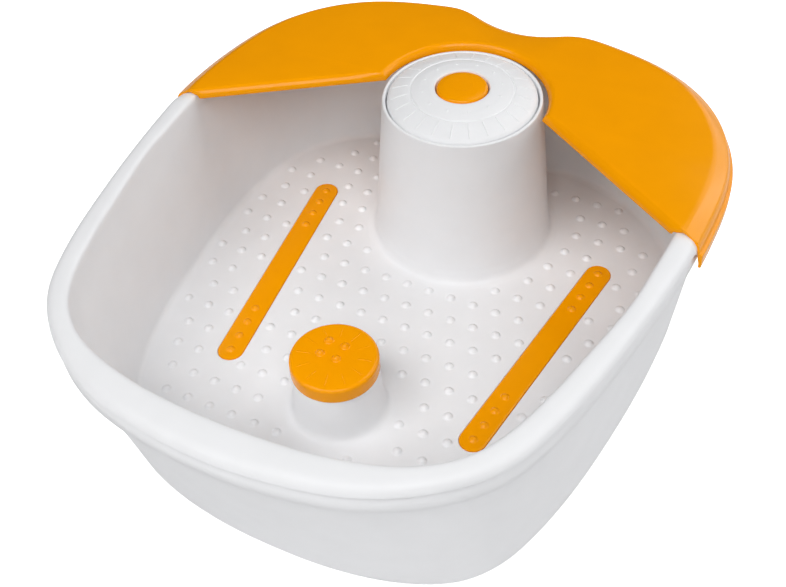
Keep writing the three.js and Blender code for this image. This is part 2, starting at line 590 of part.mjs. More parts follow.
add('power_button', 'orange', turned([[0, 136], [4.4, 136], [4.4, 158.6], [14.9, 158.6], [14.9, 151],
  [BUTTON_R, 151], [BUTTON_R, 160.2], [15.6, 161.3], [12, 162.2], [0, 162.5]], 28), 0, TOWER_Y, 0);
const SPRING = { radius: 8.6, wire: 0.6, low: 142.95, high: 157.7, turns: 3, stepsPerTurn: 9 };
const springPoints = Array.from({ length: SPRING.turns * SPRING.stepsPerTurn + 1 }, (_, i) => {
  const angle = (i / SPRING.stepsPerTurn) * 2 * Math.PI;
  const rise = (SPRING.high - SPRING.low) * (i / (SPRING.turns * SPRING.stepsPerTurn));
  return [SPRING.radius * Math.cos(angle), SPRING.radius * Math.sin(angle), SPRING.low + rise];
});
add('button_spring', 'steel', swept(springPoints, SPRING.wire, {
  sides: 4, steps: SPRING.turns * SPRING.stepsPerTurn,
}), 0, TOWER_Y, 0);

// ---- Inner leads --------------------------------------------------------------------------------

const lead = { sides: 6, steps: 10 };
add('heater_lead', 'lead', swept([[-58, -60, 12], [-52, -44, 18], [-42, -24, 28], [-35, -12, 34],
  [-33.8, -7, 36.5]], 1.2, lead));
add('board_lead', 'lead', swept([[-49, -60, 12], [-44, -20, 10], [-46, 30, 12], [-50, 62, 24],
  [-49, 82, 42], [-42, 92, 80], [-32, 98, 116.4]], 1.2, lead));
add('motor_lead', 'lead', swept([[20, TOWER_Y - 9, 116.4], [26, TOWER_Y - 8, 100], [27, TOWER_Y - 6, 70],
  [24, TOWER_Y - 3, 46], [21.9, TOWER_Y - 2, 42]], 1.2, lead));

// ---- Splash guard -------------------------------------------------------------------------------

// Right half of the guard's plan, from its end to the tower's side and round the tower's back.
const FLANK_STATIONS = 7;
const ARCH_STATIONS = 40;
const guardInnerStart = new THREE.Vector3(155.4, GUARD_END_Y + 2, 0);
const guardInnerEnd = new THREE.Vector3(GUARD_TOWER_R, TOWER_Y, 0);
const guardOuter = ring(rimOuter, -GUARD_OUTSET, 0);

// Where a level line from the point in the given direction leaves the guard's outer outline.
function outerAlong(from, direction) {
  for (let j = 0; j < guardOuter.length; j++) {
    const a = guardOuter[j];
    const b = guardOuter[(j + 1) % guardOuter.length];
    const edge = b.clone().sub(a);
    const across = direction.x * edge.y - direction.y * edge.x;
    const gap = a.clone().sub(from);
    const reach = (gap.x * edge.y - gap.y * edge.x) / across;
    const t = (gap.x * direction.y - gap.y * direction.x) / across;
    if (reach > 0 && t >= 0 && t < 1) return from.clone().addScaledVector(direction, reach);
  }
  throw new Error('the guard has no outer edge here');
}

const guardLines = [];
for (let i = 0; i < FLANK_STATIONS; i++) {
  const inner = guardInnerStart.clone().lerp(guardInnerEnd, i / FLANK_STATIONS);
  const y = GUARD_END_Y + (TOWER_Y - GUARD_END_Y) * (i / FLANK_STATIONS);
  const level = outerAlong(new THREE.Vector3(0, y, 0), new THREE.Vector3(1, 0, 0));
  guardLines.push([level, inner]);
}
for (let i = 0; i <= ARCH_STATIONS; i++) {
  const angle = (i / ARCH_STATIONS) * Math.PI;
  const direction = new THREE.Vector3(Math.cos(angle), Math.sin(angle), 0);
  const centre = new THREE.Vector3(0, TOWER_Y, 0);
  guardLines.push([outerAlong(centre, direction), centre.clone().addScaledVector(direction, GUARD_TOWER_R)]);
}
for (let i = FLANK_STATIONS - 1; i >= 0; i--) {
  guardLines.push(guardLines[i].map((p) => new THREE.Vector3(-p.x, p.y, 0)));
}

// Section from the outer skirt over the deck to the turned-down lip, and back along the inside.
function guardSection(length, drop) {
  return [[0, SKIRT_FOOT], [0, 138 - drop / 2], [1.2, 146.8 - drop], [5, 152.8 - drop],
    [12, 155.6 - drop], [length - 1.6, 156], [length, 154.6], [length, 150.2], [length - 1.9, 150.2],
    [length - 2.1, 153.8], [12.4, 153.8 - drop], [6.4, 151.4 - drop], [2.9, 145.8 - drop],
    [1.9, 138 - drop / 2], [1.9, SKIRT_FOOT]];
}
const guardRings = guardLines.map(([outer, inner]) => {
  const length = outer.distanceTo(inner);
  const inwards = inner.clone().sub(outer).normalize();
  return guardSection(length, sag(outer.y))
    .map(([u, z]) => outer.clone().addScaledVector(inwards, u).setZ(z));
});
add('splash_guard', 'orange', skin(guardRings, (p) => new THREE.Vector2(p.x, p.z)));

export default bath;
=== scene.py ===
"""The looks of a pedicure foot bath: a white basin with a control tower and an orange splash guard.

Lengths are in millimetres from the basin's datum until a mesh is made, and in metres from then on.
"""

import json
import math

import bmesh
import bpy
import numpy as np
from mathutils import Matrix, Vector
from mathutils.geometry import delaunay_2d_cdt

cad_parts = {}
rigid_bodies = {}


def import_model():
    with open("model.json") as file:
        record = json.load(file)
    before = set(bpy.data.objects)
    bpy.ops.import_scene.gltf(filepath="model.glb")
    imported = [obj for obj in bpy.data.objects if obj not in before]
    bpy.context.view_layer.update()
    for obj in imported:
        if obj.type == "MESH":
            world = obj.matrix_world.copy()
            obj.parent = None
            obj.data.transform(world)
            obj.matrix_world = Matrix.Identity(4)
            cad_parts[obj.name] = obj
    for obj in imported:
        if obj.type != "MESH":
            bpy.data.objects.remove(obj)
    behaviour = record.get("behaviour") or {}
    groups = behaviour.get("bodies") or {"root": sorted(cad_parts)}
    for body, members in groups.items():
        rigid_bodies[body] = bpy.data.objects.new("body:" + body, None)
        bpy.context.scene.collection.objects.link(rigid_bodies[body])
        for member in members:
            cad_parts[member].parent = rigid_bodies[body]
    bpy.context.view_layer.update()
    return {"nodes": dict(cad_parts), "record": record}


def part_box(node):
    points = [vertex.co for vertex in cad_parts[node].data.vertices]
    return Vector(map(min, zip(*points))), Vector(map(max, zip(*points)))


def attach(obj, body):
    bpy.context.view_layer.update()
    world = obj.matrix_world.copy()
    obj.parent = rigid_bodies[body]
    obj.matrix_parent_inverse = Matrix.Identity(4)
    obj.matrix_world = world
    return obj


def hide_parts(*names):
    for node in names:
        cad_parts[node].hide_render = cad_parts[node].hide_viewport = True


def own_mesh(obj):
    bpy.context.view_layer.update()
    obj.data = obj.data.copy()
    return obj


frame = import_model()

MM = 0.001
STATIONS = 288
OUTLINE_STEPS = 30
SMOOTHING = 1.6
TOWER_Y = 104.5
BOSS_Y = -74.5


def middle(node):
    low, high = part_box(node)
    return (low + high) / 2


# The basin's datum, in the frame: the tower's axis stands TOWER_Y behind it.
DATUM = np.array([0.0, middle("selector_dial").y / MM - TOWER_Y, 0.0])

# ---- Driving dimensions --------------------------------------------------------------------------

# Outlines in plan, each by its right half from the front to the back.
RIM_OUTER = [
    (0, -200), (38, -197.2), (77.6, -188), (111, -169.4), (136.3, -143.4), (150, -109),
    (160.2, -62.6), (168, -12), (172.6, 30), (173.6, 62), (173, 88), (169.5, 114), (161.5, 138),
    (149.5, 158.5), (133, 176), (112, 190), (88, 199.4), (66, 204.8), (50, 208), (42, 206.2),
    (34, 201.5), (25, 198.2), (12, 195), (0, 194),
]
RIM_INNER = [
    (0, -179), (30, -178), (50, -176), (70, -172), (90, -166), (108, -155.5), (121, -142),
    (130, -124), (138, -98), (141.5, -84), (146, -62), (151, -40), (155, -15), (156.3, 5),
    (158, 28), (159, 60), (158, 84), (155.5, 107), (149, 128), (139, 146), (124, 161.5),
    (105, 174.5), (84, 183), (64, 188.5), (46, 191.5), (30, 186.5), (14, 181.5), (0, 179.5),
]
FLOOR = [
    (0, -163), (32, -162), (62, -157), (88, -148), (110, -132), (126, -108), (136, -82),
    (142.5, -55), (148.6, -16), (152, 15), (153.8, 35), (154.4, 60), (153.2, 84), (149.8, 104),
    (143.6, 123), (134, 140), (119.5, 155), (102, 167), (82, 175.5), (62, 181.5), (45, 184),
    (28, 179.5), (13, 175), (0, 173.5),
]
BASE = [
    (0, -167), (35, -165.5), (67, -160), (92, -151.5), (113, -139), (129, -119), (138.5, -95),
    (143.5, -76), (147.5, -57), (150.5, -38), (153.5, -14), (157, 25), (158, 58), (157.6, 84),
    (154.6, 107), (148, 128), (138, 146), (124, 160.5), (106, 172.5), (86, 181.5), (65, 187.5),
    (45, 190.5), (28, 186), (13, 181), (0, 179.5),
]
WALL = 2.2
FLOOR_TOP = 46
FLOOR_UNDER = 43
FLOOR_FILLET = 4
SKIRT_FOOT = 133
BACK_SAG = 4
SAG_LENGTH = 80
CASING_UNDER = 3
CASING_FLOOR = 5.5
CASING_INSET = 5
BASE_ROUND_TOP = 30
DECK_TOP = 146.8
DECK_UNDER = 144
BOSS_TOP = 79.1
STRIP_FRONT = np.array([84.2, -65.3])
STRIP_BACK = np.array([103.7, 93.95])
STRIP_R = 8.3
AIR_SLOT = 1.8
GAP = 0.3
GUARD_END_Y = 37
GUARD_OUTSET = 3.45
GUARD_TOWER_R = 54.3
SPRING_R = 8.4
SPRING_WIRE = 0.55
SPRING_TURNS = 3
NUB_PITCH_X = 15.9
NUB_PITCH_Y = 17.9
NUB_ROW_Y = 16
NUB_REACH = 5.1
# Rows of nubs count back from NUB_ROW_Y. Odd rows are set over by half a pitch, but these by this share.
BACK_ROW_SHARES = {3: 0, 4: 0.45, 5: 0.76, 6: 0.86, 7: 0.64}
# Outside the air strips, these rows are set over by this much more.
OUTER_ROW_SHIFTS = {-4: -4.0, -1: 4.4, 2: 1.2}

# The crown of the rim: each ring's share of the way out, its height, and its height under the guard.
CROWN = [
    (0, 146.4, 146.4), (0.005, 149.6, 149.6), (0.05, 151.9, 151.6), (0.18, 152.9, 152.5),
    (0.42, 153, 152.5), (0.7, 152.5, 151), (0.87, 151.1, 148.2), (0.965, 149, 145.4), (1, 146.9, 142),
]
# It changes to its shape under the guard from here, over this length.
CROWN_CHANGE_Y = GUARD_END_Y - 6
CROWN_CHANGE = 8
# The lip under the crown, as how far it stands in and how far down it is.
LIP = [(0, 0), (0, -0.7), (1.8, -1.5), (1.9, -3), (1, -6)]
TOWER_SIDES = 128
BOSS_SIDES = 96
TOWER_FOOT_R = 60
# The fillet of the tower's foot reaches from the first to the second radius, where the back wall lets it.
TOWER_REACH = (61, 66)
TOWER_BACK_GAP = 2.2
# A level strip of floor left round its edge and round each seat.
FLAT_EDGE = 0.6
# A nub's section as radius and height, and how near its middle may come to the tower's and boss's axes.
NUB = [(4.1, 0.0), (3.5, 0.0), (3.0, 0.14), (2.6, 0.55), (2.2, 1.08), (1.6, 1.6), (0.8, 1.92)]
NUB_HEIGHT = 2.0
NUB_SIDES = 14
NUB_TOWER_R = 70.8
NUB_BOSS_R = 39.2
NUB_ROWS = range(-9, 9)
NUB_COLUMNS = 11
STRIP_NUBS = 4
STRIP_NUB_PITCH = 12.5
DIAL_TICKS = 24
DIAL_PIPS = 12
DIAL_PIP_R = 25.5
SIGN_R = 6.2
SIGN_WIDTH = 1.1
SIGN_HEIGHT = 0.16
# The middle of the pad's four nubs from its axis, and each nub's distance from that along X and Y.
PAD_NUBS_X = -2.9
PAD_NUBS_Y = 3.8
PAD_NUB_SPREAD = 5.3
PAD_RAYS = 12
RIDGE_SINK = 0.3
GUARD_FRONT_CORNER = (155.4, GUARD_END_Y + 2)
# The width of the guard's rolled inner edge along its straight ends and round the tower.
GUARD_ROLL = (7.5, 3.6)
GUARD_ROLL_CHANGE = 0.86
FLANK_LINES = 40
ARCH_LINES = 120

SCREW_SPOTS = [(54, -122), (-54, -122), (113, -26), (-113, -26), (64, 138), (-64, 138)]
CARRIER_SCREW_R = 38
CARRIER_SCREWS = [(CARRIER_SCREW_R * math.cos(math.radians(a)),
                   TOWER_Y + CARRIER_SCREW_R * math.sin(math.radians(a))) for a in (30, 150, 270)]
FOOT_SPOTS = {"front_right": (84, -104), "front_left": (-84, -104), "rear_right": (100, 124),
              "rear_left": (-100, 124)}
VENT_COUNT = 9
VENT_PITCH = 7
VENT_LENGTH = 44
VENT_TAPER = 0.7
INLET_Z = 29
INLET_SEAT_Y = 177.6
INLET_SEAT = 19
INLET_BORE = 6.3
INLET_PAD_ENDS = (-4.6, 2.1)
INLET_PAD_Z = (-3.5, 11.5)

# Soft lights, each with its azimuth and its angle above the floor in degrees, and its power in watts.
SOFTBOXES = [
    ("front_right", 300, 55, 25.5), ("front_left", 240, 55, 20.5), ("side_right", 45, 22, 12),
    ("right", 0, 22, 2.5), ("back_right", 60, 55, 9.5), ("back", 72, 17, 8), ("front_low", 270, 22, 4.5),
]
# The lights' size, distance and aim, and half the floor's width, in metres.
SOFTBOX_SIZE = 1.3
SOFTBOX_DISTANCE = 2.4
AIM = Vector((0, 0, 0.08))
FLOOR_HALF = 4.0
# How bright the floor looks to the camera by itself, and how bright the world is for everything else.
FLOOR_GLOW = 0.75
WORLD_LIGHT = 0.03
# The camera's place and lens, and its angles in degrees.
CAMERA_FROM_DATUM = (245.96, -435.0, 586.72)
CAMERA_LENS = 52.195
CAMERA_SENSOR = 36
CAMERA_AZIMUTH = -60.488
CAMERA_HEIGHT = 45.84
CAMERA_ROLL = -3.624


# ---- Meshes --------------------------------------------------------------------------------------


def circle(radius, z, count, x=0.0, y=0.0):
    angle = np.arange(count) / count * 2 * np.pi
    return np.column_stack([x + radius * np.cos(angle), y + radius * np.sin(angle), np.full(count, z)])


def through(points, steps):
    """A smooth open run through the points, with this many steps to each span."""
    p = np.array(points, float)
    p = np.vstack([2 * p[0] - p[1], p, 2 * p[-1] - p[-2]])
    out = []
    for i in range(1, len(p) - 2):
        for t in np.arange(steps) / steps:
            a, b, c, d = p[i - 1:i + 3]
            out.append(0.5 * (2 * b + (c - a) * t + (2 * a - 5 * b + 4 * c - d) * t ** 2
                              + (3 * b - a - 3 * c + d) * t ** 3))
    return np.array(out + [p[-2]])


def soften(points, radius, steps=3):
    """The same run with its inner corners rounded, each cut back by radius or by half its shorter side."""
    p = [np.array(q, float) for q in points]
    out = [p[0]]
    for before, corner, after in zip(p, p[1:], p[2:]):
        reach = min(radius, 0.45 * np.linalg.norm(before - corner), 0.45 * np.linalg.norm(after - corner))
        start = corner + reach * (before - corner) / max(np.linalg.norm(before - corner), 1e-9)
        end = corner + reach * (after - corner) / max(np.linalg.norm(after - corner), 1e-9)
        for t in np.linspace(0, 1, steps + 1):
            out.append((1 - t) ** 2 * start + 2 * t * (1 - t) * corner + t ** 2 * end)
    return out + [p[-1]]


def inside(polygon, points):
    """Which of the points are inside the polygon, both in plan."""
    x, y = points[:, 0], points[:, 1]
    hit = np.zeros(len(points), bool)
    for (ax, ay), (bx, by) in zip(polygon, np.roll(polygon, -1, axis=0)):
        if ay != by:
            hit ^= ((ay > y) != (by > y)) & (x < (bx - ax) * (y - ay) / (by - ay) + ax)
    return hit


class Shape:
    """A mesh being made from loops of points."""

    def __init__(self):
        self.points = []
        self.faces = []

    def loop(self, ring):
        """Adds the points of a loop and returns their numbers."""
        start = len(self.points)
        self.points.extend(np.asarray(ring, float))
        return list(range(start, len(self.points)))

    def bridge(self, a, b):
        """Joins two loops of equal length."""
        for j in range(len(a)):
            k = (j + 1) % len(a)
            self.faces.append((a[j], a[k], b[k], b[j]))

    def run(self, rings):
        """Joins a run of equal loops. Returns the first and the last loop."""
        loops = [self.loop(ring) for ring in rings]
        for a, b in zip(loops, loops[1:]):
            self.bridge(a, b)
        return loops[0], loops[-1]

    def point(self, ids, place):
        """Closes a loop onto one point."""
        tip = self.loop([place])[0]
        self.faces.extend((a, b, tip) for a, b in zip(ids, ids[1:] + ids[:1]))

    def fill(self, outer, holes=()):
        """A level sheet from the outer loop to the holes' loops."""
        loops = [outer, *holes]
        ids = [i for one in loops for i in one]
        owner = np.repeat(np.arange(len(loops)), [len(one) for one in loops])
        edges = []
        for one in loops:
            start, n = len(edges), len(one)
            edges.extend((start + j, start + (j + 1) % n) for j in range(n))
        flat = [Vector(self.points[i][:2]) for i in ids]
        verts, _, faces, origin, _, _ = delaunay_2d_cdt(flat, edges, [], 0, 1e-5)
        if len(verts) != len(flat):
            raise ValueError("two loops of a level sheet cross")
        back = {k: o[0] for k, o in enumerate(origin)}
        triangles = np.array(faces)
        owners = np.vectorize(lambda v: owner[back[v]])(triangles)
        own = (owners[:, 0] == owners[:, 1]) & (owners[:, 1] == owners[:, 2])
        keep = ~own | (owners[:, 0] == 0)
        centre = np.array([verts[v][:] for v in range(len(verts))])[triangles].mean(axis=1)
        keep &= inside(np.array([self.points[i][:2] for i in outer]), centre)
        self.faces.extend(tuple(ids[back[v]] for v in f) for f in triangles[keep])

    def closed_run(self, rings):
        """A body from a run of loops, with both ends filled in by a point at their middle."""
        first, last = self.run(rings)
        self.point(first, np.mean(rings[0], axis=0))
        self.point(last, np.mean(rings[-1], axis=0))

    def object(self, name, sharp=38):
        """The finished mesh, smooth but for the edges that turn by more than this many degrees."""
        mesh = bpy.data.meshes.new(name)
        mesh.from_pydata([tuple((p + DATUM) * MM) for p in self.points], [], self.faces)
        work = bmesh.new()
        work.from_mesh(mesh)
        bmesh.ops.recalc_face_normals(work, faces=work.faces)
        work.to_mesh(mesh)
        work.free()
        mesh.shade_smooth()
        mesh.set_sharp_from_angle(angle=math.radians(sharp))
        body = bpy.data.objects.new(name, mesh)
        bpy.context.scene.collection.objects.link(body)
        return body


def turned(shape, profile, count, x=0.0, y=0.0):
    """Adds a body turned about Z. A profile that starts or ends on the axis closes on a point there."""
    rings = [circle(r, z, count, x, y) for r, z in profile if r > 0]
    first, last = shape.run(rings)
    if profile[0][0] == 0:
        shape.point(first, (x, y, profile[0][1]))
    if profile[-1][0] == 0:
        shape.point(last, (x, y, profile[-1][1]))


def ring_body(shape, profile, count, x=0.0, y=0.0):
    """Adds a ring about Z whose profile closes on itself."""
    first, last = shape.run([circle(r, z, count, x, y) for r, z in profile])
    shape.bridge(last, first)


def dome(shape, x, y, z, radius, height, count):
    """Adds a nub whose foot is sunk a little into what it stands on."""
    profile = [(0, -0.25), (1.35, -0.25), (1.35, -0.02), (1.12, 0.05), (0.96, 0.22), (0.78, 0.52),
               (0.52, 0.81), (0.26, 0.96), (0, 1)]
    turned(shape, [(radius * r, z + height * h) for r, h in profile], count, x, y)


def ridge(shape, line, width, height):
    """Adds a low rib along a run of points, rounded on top and sunk into what it stands on."""
    line = np.array(line, float)
    along = np.gradient(line, axis=0)
    side = np.column_stack([-along[:, 1], along[:, 0]])
    side /= np.linalg.norm(side, axis=1)[:, None]
    section = [(-0.5, -RIDGE_SINK), (-0.5, 0.0), (-0.3, 0.75), (0.0, 1.0), (0.3, 0.75), (0.5, 0.0),
               (0.5, -RIDGE_SINK)]
    rings = []
    for place, across in zip(line, side):
        rings.append([(place[0] + across[0] * u * width, place[1] + across[1] * u * width,
                       place[2] + (w * height if w >= 0 else w)) for u, w in section])
    shape.closed_run(rings)


# ---- Outlines ------------------------------------------------------------------------------------


def dense_outline(half):
    """The whole closed outline as a smooth curve through the points of its right half and their mirror."""
    right = np.array(half, float)
    p = np.vstack([right, right[1:-1][::-1] * (-1, 1)])
    n = len(p)
    t = (np.arange(OUTLINE_STEPS) / OUTLINE_STEPS)[:, None]
    out = []
    for i in range(n):
        a, b, c, d = (p[(i + k) % n] for k in (-1, 0, 1, 2))
        before, here, after = (np.linalg.norm(v - u) ** 0.5 for u, v in ((a, b), (b, c), (c, d)))
        leave = ((b - a) / before - (c - a) / (before + here) + (c - b) / here) * here
        arrive = ((c - b) / here - (d - b) / (here + after) + (d - c) / after) * here
        out.append((2 * t ** 3 - 3 * t ** 2 + 1) * b + (t ** 3 - 2 * t ** 2 + t) * leave
                   + (3 * t ** 2 - 2 * t ** 3) * c + (t ** 3 - t ** 2) * arrive)
    return np.vstack(out)


def bearing(points):
    """Each point's direction from the datum, turning from the front."""
    return np.arctan2(points[:, 0], -points[:, 1]) % (2 * np.pi)


def even_bearings(half, count):
    """The bearings of points evenly spaced along the outline."""
    p = dense_outline(half)
    length = np.concatenate([[0], np.cumsum(np.linalg.norm(np.roll(p, -1, axis=0) - p, axis=1))])
    places = np.arange(count) / count * length[-1]
    closed = np.vstack([p, p[:1]])
    spaced = np.column_stack([np.interp(places, length, closed[:, k]) for k in (0, 1)])
    return np.sort(bearing(spaced))


BEARINGS = even_bearings(RIM_OUTER, STATIONS)


class Outline:
    """An outline's points at the stations, and the level direction inwards at each."""

    def __init__(self, half):
        p = dense_outline(half)
        angle = bearing(p)
        order = np.argsort(angle)
        xy = np.column_stack([np.interp(BEARINGS, angle[order], p[order, k], period=2 * np.pi)
                              for k in (0, 1)])
        reach = int(4 * SMOOTHING)
        weight = np.exp(-0.5 * (np.arange(-reach, reach + 1) / SMOOTHING) ** 2)
        weight /= weight.sum()
        xy = sum(w * np.roll(xy, k, axis=0) for w, k in zip(weight, range(-reach, reach + 1)))
        along = np.roll(xy, -1, axis=0) - np.roll(xy, 1, axis=0)
        along /= np.linalg.norm(along, axis=1)[:, None]
        self.xy = xy
        self.inward = np.column_stack([-along[:, 1], along[:, 0]])

    def ring(self, inset, z):
        return np.column_stack([self.xy + inset * self.inward, np.full(STATIONS, z)])


rim_outer = Outline(RIM_OUTER)
rim_inner = Outline(RIM_INNER)
floor_edge = Outline(FLOOR)
base_edge = Outline(BASE)


def between(a, b, share):
    return a + (b - a) * share


def sag(y):
    """The drop of the rim along the side, from none at the guard's end to all of it at the back."""
    t = np.clip((np.asarray(y) - GUARD_END_Y) / SAG_LENGTH, 0, 1)
    return BACK_SAG * t * t * (3 - 2 * t)


def rim_ring(share, z, inset=0.0, level=False):
    """A ring between the rim's inner edge (0) and its outer edge (1)."""
    xy = between(rim_inner.xy, rim_outer.xy, share) + inset * rim_outer.inward
    drop = 0 if level else sag(xy[:, 1])
    return np.column_stack([xy, z - drop * np.ones(STATIONS)])


# ---- Tub -----------------------------------------------------------------------------------------

def bar_loop(side, radius, z, steps=12):
    """The outline of a round-ended bar over one of the two air channels."""
    ends = (STRIP_FRONT * (side, 1), STRIP_BACK * (side, 1))
    along = math.atan2(*(ends[1] - ends[0])[::-1])
    out = []
    for end, start in ((ends[1], along - math.pi / 2), (ends[0], along + math.pi / 2)):
        for a in start + np.linspace(0, math.pi, steps + 1):
            out.append((end[0] + radius * math.cos(a), end[1] + radius * math.sin(a), z))
    return np.array(out)


def from_bar(x, y, side):
    """How far a place is from the middle line of an air strip."""
    a, b = STRIP_FRONT * (side, 1), STRIP_BACK * (side, 1)
    t = np.clip(np.dot((x, y) - a, b - a) / np.dot(b - a, b - a), 0, 1)
    return np.linalg.norm((x, y) - (a + t * (b - a)))


def nub_spots():
    """The middles of the floor's nubs: mirrored rows, clear of everything else that stands on the floor."""
    limit = floor_edge.ring(FLOOR_FILLET + NUB_REACH - 0.2, 0)[:, :2]
    spots = []
    for row in NUB_ROWS:
        share = BACK_ROW_SHARES.get(row, 0.5 * (row % 2))
        y = NUB_ROW_Y + row * NUB_PITCH_Y
        for column in range(NUB_COLUMNS):
            x = (column + share) * NUB_PITCH_X
            if x > STRIP_BACK[0]:
                x += OUTER_ROW_SHIFTS.get(row, 0)
            spots += [(x, y), (-x, y)] if x > 0 else [(x, y)]
    spots = np.array(spots)
    spots = spots[inside(limit, spots)]
    return [(x, y) for x, y in spots
            if math.hypot(x, y - TOWER_Y) > NUB_TOWER_R and math.hypot(x, y - BOSS_Y) > NUB_BOSS_R
            and min(from_bar(x, y, 1), from_bar(x, y, -1)) > STRIP_R + NUB_REACH]


def make_tub():
    s = Shape()
    turn = np.linspace(0, np.pi / 2, 6)
    fillet = [floor_edge.ring(FLOOR_FILLET * (1 - math.sin(a)),
                              FLOOR_TOP + FLOOR_FILLET * (1 - math.cos(a))) for a in turn]
    fillet.insert(0, floor_edge.ring(FLOOR_FILLET + FLAT_EDGE, FLOOR_TOP))
    wall_foot = fillet[-1]
    wall_top = rim_ring(*CROWN[0][:2])
    wall = [between(wall_foot, wall_top, t) for t in np.linspace(0, 1, 9)[1:]]
    under_guard = np.clip((rim_outer.xy[:, 1] - CROWN_CHANGE_Y) / CROWN_CHANGE, 0, 1)
    rim = [rim_ring(share, between(z, low, under_guard)) for share, z, low in through(CROWN, 4)[1:]]
    # Under the crown's lip the skirt stands in a little.
    lip_foot = between(*CROWN[-1][1:], under_guard)
    rim += [rim_ring(1, lip_foot + drop, inset) for inset, drop in soften(LIP, 0.4, 2)[1:]]
    skirt = [rim_ring(1, SKIRT_FOOT + 0.6, 0.8, level=True), rim_ring(1, SKIRT_FOOT, 1.3, level=True),
             rim_ring(1, SKIRT_FOOT, WALL, level=True),
             rim_ring(1, SKIRT_FOOT + 0.6, WALL + 0.5, level=True)]
    under = [rim_ring(1, 139.6, WALL + 0.5), rim_ring(0.84, 145.4, 1.2), rim_ring(0.62, 149.2),
             rim_ring(0.34, 150.4), rim_ring(0, 147, -WALL), floor_edge.ring(-WALL, FLOOR_TOP + 6.4),
             floor_edge.ring(1.2, FLOOR_UNDER + 3.2), floor_edge.ring(8, FLOOR_UNDER)]
    edge, under_edge = s.run(fillet + wall + rim + skirt + under)

    # The tower, from its fillet on the floor, over its lip and down to the deck, to the hollow's foot.
    count = TOWER_SIDES
    outer = circle(1, FLOOR_TOP, count, 0, TOWER_Y)
    unit = outer[:, :2] - (0, TOWER_Y)
    reach = np.zeros(count)
    back = floor_edge.ring(FLOOR_FILLET + TOWER_BACK_GAP, 0)[:, :2]
    tries = np.linspace(*TOWER_REACH, 25)
    for j, spot in enumerate(unit):
        free = inside(back, np.column_stack([tries * spot[0], TOWER_Y + tries * spot[1]]))
        reach[j] = tries[free][-1] if free.any() else TOWER_REACH[0]
    reach = sum(np.roll(reach, k) for k in range(-2, 3)) / 5

    def tower_ring(share, z):
        """A ring of the tower's foot, from its side (0) to the fillet's edge (1)."""
        r = TOWER_FOOT_R + (reach - TOWER_FOOT_R) * share
        return np.column_stack([unit * r[:, None] + (0, TOWER_Y), np.full(count, z)])

    foot = through([(1, 46), (0.55, 46.45), (0.25, 47.6), (0.06, 50.2), (0, 53)], 3)
    rings = [tower_ring(1.1, FLOOR_TOP)] + [tower_ring(share, z) for share, z in foot]
    side = soften([(59.6, 54), (59.2, 57.5), (51.15, 152.2), (51.0, 153.1), (50.3, 153.5), (49.5, 153.5),
                   (49.0, 153.0), (48.9, DECK_TOP), (20, DECK_TOP), (20, DECK_UNDER), (48.6, DECK_UNDER),
                   (57.2, 56), (57.2, FLOOR_UNDER)], 0.35, 2)
    rings += [circle(r, z, count, 0, TOWER_Y) for r, z in side]
    tower_foot, tower_hollow = s.run(rings)

    boss = through([(34, 46), (31.6, 46.4), (29.7, 47.7), (28.5, 50.2), (27.8, 54)], 3).tolist()
    boss += soften([(27.6, 56), (25.5, 77.9), (25.2, 78.8), (24.4, BOSS_TOP), (8.3, BOSS_TOP), (8.3, 76.3),
                    (23, 76.3), (26, 50), (26.2, FLOOR_UNDER)], 0.35, 2)
    boss_foot, boss_hollow = s.run([circle(r, z, BOSS_SIDES, 0, BOSS_Y)
                                    for r, z in [(34.7, FLOOR_TOP), *boss]])

    seats = []
    slots = []
    for at in (1, -1):
        seat, slot = s.run([bar_loop(at, STRIP_R + GAP + FLAT_EDGE, FLOOR_TOP),
                            bar_loop(at, STRIP_R + GAP + 0.25, FLOOR_TOP),
                            bar_loop(at, STRIP_R + GAP, 45.7), bar_loop(at, STRIP_R + GAP, 44.4),
                            bar_loop(at, AIR_SLOT, 44.4), bar_loop(at, AIR_SLOT, FLOOR_UNDER)])
        seats.append(seat)
        slots.append(slot)

    nubs = []
    for x, y in nub_spots():
        nub_foot, tip = s.run([circle(r, FLOOR_TOP + h, NUB_SIDES, x, y) for r, h in NUB])
        s.point(tip, (x, y, FLOOR_TOP + NUB_HEIGHT))
        nubs.append(nub_foot)
    s.fill(edge, [tower_foot, boss_foot, *seats, *nubs])
    s.fill(under_edge, [tower_hollow, boss_hollow, *slots])

    for x, y in SCREW_SPOTS:
        turned(s, [(0, 28), (1.8, 28), (1.8, 9), (5, 9), (5, 43.6), (0, 43.6)], 24, x, y)
    for x, y in CARRIER_SCREWS:
        turned(s, [(0, 142), (1.8, 142), (1.8, 130.3), (4, 130.3), (4, 144.6), (0, 144.6)], 20, x, y)
    return s.object("tub", sharp=42)


# ---- Casing --------------------------------------------------------------------------------------

def slot_loop(x, y, width, length, z, steps=5):
    """The outline of a slot with round ends, along Y."""
    radius = width / 2
    out = []
    for end, start in ((length / 2 - radius, 0), (radius - length / 2, math.pi)):
        for a in start + np.linspace(0, math.pi, steps + 1):
            out.append((x + radius * math.cos(a), y + end + radius * math.sin(a), z))
    return np.array(out)


